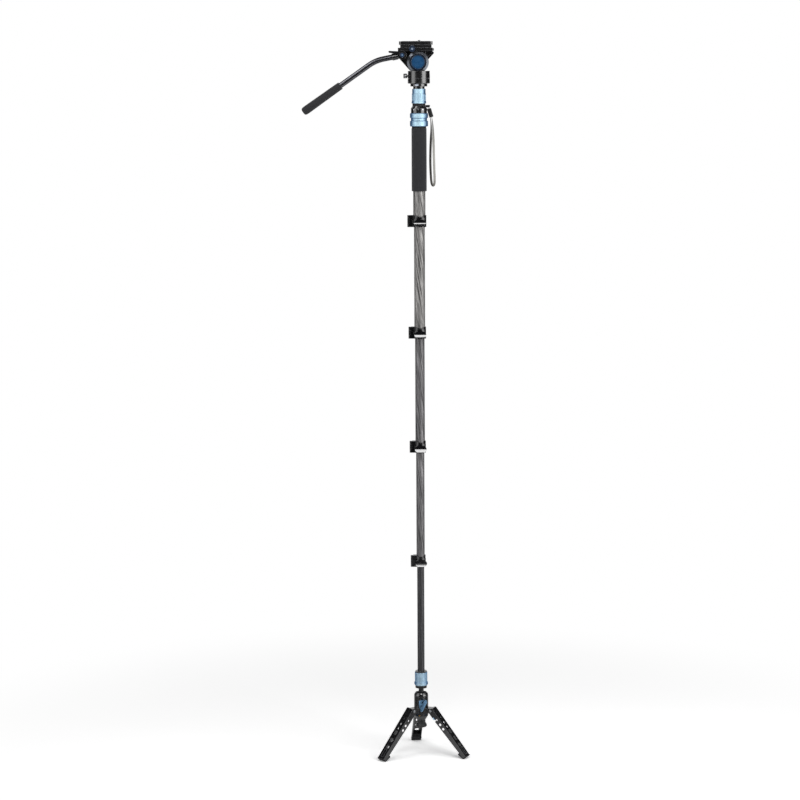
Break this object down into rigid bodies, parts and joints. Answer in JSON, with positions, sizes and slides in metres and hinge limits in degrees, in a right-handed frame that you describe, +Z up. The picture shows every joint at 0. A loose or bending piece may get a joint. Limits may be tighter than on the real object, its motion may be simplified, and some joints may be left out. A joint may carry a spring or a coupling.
{
  "type": "camera monopod",
  "caption": "Telescopic camera monopod with flip locks, fluid video head with pan bar, and a fold-out foot on a ball joint",
  "frame": {"origin": "on the floor, on the shaft's axis", "axes": "+Z up along the shaft, +X the way the lens points, the pan bar runs back along -X on the -Y side"},
  "size_m": [0.4336, 0.2277, 1.9004],
  "materials": {
    "black_anodised": "satin black anodised",
    "blue_anodised": "light blue anodised",
    "grey_anodised": "grey anodised",
    "steel": "plain steel",
    "brass": "plain brass",
    "carbon": "carbon fibre",
    "black_plastic": "gloss black",
    "blue_plastic": "dark blue",
    "rubber": "matt",
    "foam": "closed-cell foam",
    "webbing": "woven"
  },
  "bodies": {
    "base": {"stand_body": "black_anodised", "ball_cap": "black_anodised", "pedal_pins": "brass", "leg_pins": "steel"},
    "swivel": {"swivel_cup": "black_anodised"},
    "ball": {"ball_stem": "steel"},
    "bottom_section": {"lower_socket": "black_anodised", "tube_5": "carbon"},
    "lower_collar": {"lower_collar": "blue_anodised"},
    "section_4": {"tube_4": "carbon", "lock_collar_4": "black_plastic", "lock_pins_4": "steel"},
    "section_3": {"tube_3": "carbon", "lock_collar_3": "black_plastic", "lock_pins_3": "steel"},
    "section_2": {"tube_2": "carbon", "lock_collar_2": "black_plastic", "lock_pins_2": "steel"},
    "section_1": {"tube_1": "carbon", "lock_collar_1": "black_plastic", "lock_pins_1": "steel", "foam_grip": "foam", "top_platform": "black_anodised", "head_screw": "steel", "head_base": "black_anodised"},
    "lever_1": {"lock_lever_1": "black_plastic"},
    "lever_2": {"lock_lever_2": "black_plastic"},
    "lever_3": {"lock_lever_3": "black_plastic"},
    "lever_4": {"lock_lever_4": "black_plastic"},
    "strap": {"strap_ring": "black_anodised", "wrist_strap": "webbing"},
    "grip_ring": {"grip_ring": "blue_anodised"},
    "upper_collar": {"upper_collar": "blue_anodised"},
    "pan": {"pan_housing": "black_anodised", "tilt_axle": "steel", "tilt_drum": "grey_anodised", "side_caps": "blue_plastic"},
    "pan_knob": {"pan_lock_knob": "black_plastic"},
    "tilt_lever": {"tilt_lock_lever": "black_anodised"},
    "tilt": {"tilt_frame": "black_anodised"},
    "jaw": {"plate_jaw": "black_anodised"},
    "plate_knob": {"plate_lock_knob": "grey_anodised"},
    "release": {"release_button": "blue_anodised"},
    "plate": {"camera_plate": "black_anodised"},
    "screw": {"camera_screw": "steel"},
    "bar": {"pan_bar_clamp": "grey_anodised", "pan_bar": "black_anodised", "pan_bar_grip": "foam"},
    "bar_knob": {"pan_bar_knob": "blue_anodised"},
    "leg_1": {"leg_1": "black_anodised", "leg_foot_1": "rubber"},
    "latch_1": {"leg_latch_1": "blue_anodised"},
    "leg_2": {"leg_2": "black_anodised", "leg_foot_2": "rubber"},
    "latch_2": {"leg_latch_2": "blue_anodised"},
    "leg_3": {"leg_3": "black_anodised", "leg_foot_3": "rubber"},
    "latch_3": {"leg_latch_3": "blue_anodised"},
    "pedal": {"foot_pedal": "blue_anodised"},
    "tension_knob": {"tension_knob": "black_anodised"}
  },
  "joints": [
    {"name": "swivel_turn", "type": "hinge", "parent": "base", "child": "swivel", "pos_m": [0, 0, 0.13], "axis": [0, 0, 1], "continuous": true},
    {"name": "ball_tilt", "type": "hinge", "parent": "swivel", "child": "ball", "pos_m": [0, 0, 0.15194], "axis": [0, 1, 0], "range_deg": [-20, 20]},
    {"name": "spindle_turn", "type": "hinge", "parent": "ball", "child": "bottom_section", "pos_m": [0, 0, 0.186], "axis": [0, 0, 1], "continuous": true},
    {"name": "lower_collar_turn", "type": "hinge", "parent": "bottom_section", "child": "lower_collar", "pos_m": [0, 0, 0.206], "axis": [0, 0, 1], "range_deg": [0, 90]},
    {"name": "section_4_slide", "type": "slide", "parent": "bottom_section", "child": "section_4", "axis": [0, 0, 1], "range_m": [-0.283, 0]},
    {"name": "section_3_slide", "type": "slide", "parent": "section_4", "child": "section_3", "axis": [0, 0, 1], "range_m": [-0.275, 0]},
    {"name": "section_2_slide", "type": "slide", "parent": "section_3", "child": "section_2", "axis": [0, 0, 1], "range_m": [-0.271, 0]},
    {"name": "section_1_slide", "type": "slide", "parent": "section_2", "child": "section_1", "axis": [0, 0, 1], "range_m": [-0.26, 0]},
    {"name": "lever_1_open", "type": "hinge", "parent": "section_1", "child": "lever_1", "pos_m": [-0.0279, -0.0035, 1.43224], "axis": [0, 0, -1], "range_deg": [0, 110]},
    {"name": "lever_2_open", "type": "hinge", "parent": "section_2", "child": "lever_2", "pos_m": [-0.0261, -0.0035, 1.13894], "axis": [0, 0, -1], "range_deg": [0, 110]},
    {"name": "lever_3_open", "type": "hinge", "parent": "section_3", "child": "lever_3", "pos_m": [-0.0244, -0.0035, 0.83524], "axis": [0, 0, -1], "range_deg": [0, 110]},
    {"name": "lever_4_open", "type": "hinge", "parent": "section_4", "child": "lever_4", "pos_m": [-0.0228, -0.0035, 0.52744], "axis": [0, 0, -1], "range_deg": [0, 110]},
    {"name": "strap_turn", "type": "hinge", "parent": "section_1", "child": "strap", "pos_m": [0, 0, 1.722], "axis": [0, 0, 1], "continuous": true},
    {"name": "grip_ring_turn", "type": "hinge", "parent": "section_1", "child": "grip_ring", "pos_m": [0, 0, 1.695], "axis": [0, 0, 1], "range_deg": [0, 60]},
    {"name": "upper_collar_turn", "type": "hinge", "parent": "section_1", "child": "upper_collar", "pos_m": [0, 0, 1.756], "axis": [0, 0, 1], "range_deg": [0, 90]},
    {"name": "pan_turn", "type": "hinge", "parent": "section_1", "child": "pan", "pos_m": [0, 0, 1.808], "axis": [0, 0, 1], "continuous": true},
    {"name": "tilt_turn", "type": "hinge", "parent": "pan", "child": "tilt", "pos_m": [-0.0024, 0, 1.84356], "axis": [0, 1, 0], "range_deg": [-45, 70]},
    {"name": "pan_knob_turn", "type": "hinge", "parent": "pan", "child": "pan_knob", "pos_m": [-0.035, 0, 1.80836], "axis": [1, 0, 0], "range_deg": [0, 180]},
    {"name": "tilt_lever_turn", "type": "hinge", "parent": "pan", "child": "tilt_lever", "pos_m": [-0.0024, 0.0335, 1.84356], "axis": [0, 1, 0], "range_deg": [0, 60]},
    {"name": "plate_knob_turn", "type": "hinge", "parent": "tilt", "child": "plate_knob", "pos_m": [-0.0173, -0.032, 1.87776], "axis": [0, -1, 0], "range_deg": [0, 720]},
    {"name": "jaw_slide", "type": "slide", "parent": "tilt", "child": "jaw", "axis": [0, -1, 0], "range_m": [0, 0.0016]},
    {"name": "release_press", "type": "slide", "parent": "tilt", "child": "release", "axis": [-1, 0, 0], "range_m": [0, 0.002], "stiffness_N_per_m": 200},
    {"name": "plate_slide", "type": "slide", "parent": "tilt", "child": "plate", "axis": [1, 0, 0], "range_m": [-0.015, 0.015]},
    {"name": "screw_turn", "type": "hinge", "parent": "plate", "child": "screw", "pos_m": [0.001, 0, 1.89], "axis": [0, 0, 1], "continuous": true},
    {"name": "bar_turn", "type": "hinge", "parent": "tilt", "child": "bar", "pos_m": [-0.043, -0.0362, 1.86156], "axis": [0, 1, 0], "range_deg": [-10, 60]},
    {"name": "bar_knob_turn", "type": "hinge", "parent": "bar", "child": "bar_knob", "pos_m": [-0.043, -0.047, 1.86156], "axis": [0, 1, 0], "range_deg": [0, 180]},
    {"name": "leg_1_fold", "type": "hinge", "parent": "base", "child": "leg_1", "pos_m": [-0.0033, 0.03253, 0.12214], "axis": [-0.9949, -0.1011, 0], "range_deg": [0, 38.6]},
    {"name": "latch_1_slide", "type": "slide", "parent": "leg_1", "child": "latch_1", "axis": [-0.063, 0.6207, -0.7815], "range_m": [0, 0.004], "stiffness_N_per_m": 200},
    {"name": "leg_2_fold", "type": "hinge", "parent": "base", "child": "leg_2", "pos_m": [-0.02652, -0.01913, 0.12214], "axis": [0.585, -0.8111, 0], "range_deg": [0, 38.6]},
    {"name": "latch_2_slide", "type": "slide", "parent": "leg_2", "child": "latch_2", "axis": [-0.506, -0.3649, -0.7815], "range_m": [0, 0.004], "stiffness_N_per_m": 200},
    {"name": "leg_3_fold", "type": "hinge", "parent": "base", "child": "leg_3", "pos_m": [0.02983, -0.0134, 0.12214], "axis": [0.4099, 0.9121, 0], "range_deg": [0, 38.6]},
    {"name": "latch_3_slide", "type": "slide", "parent": "leg_3", "child": "latch_3", "axis": [0.5691, -0.2557, -0.7815], "range_m": [0, 0.004], "stiffness_N_per_m": 200},
    {"name": "pedal_press", "type": "hinge", "parent": "base", "child": "pedal", "pos_m": [0.00228, -0.02248, 0.14994], "axis": [0.9949, 0.1011, 0], "range_deg": [0, 12], "stiffness_Nm_per_rad": 0.8},
    {"name": "tension_knob_turn", "type": "hinge", "parent": "base", "child": "tension_knob", "pos_m": [0, 0, 0.083], "axis": [0, 0, 1], "range_deg": [0, 180]}
  ],
  "couplings": [
    {"joint": "plate_knob_turn", "follows": "jaw_slide", "rad_per_m": 7853}
  ]
}
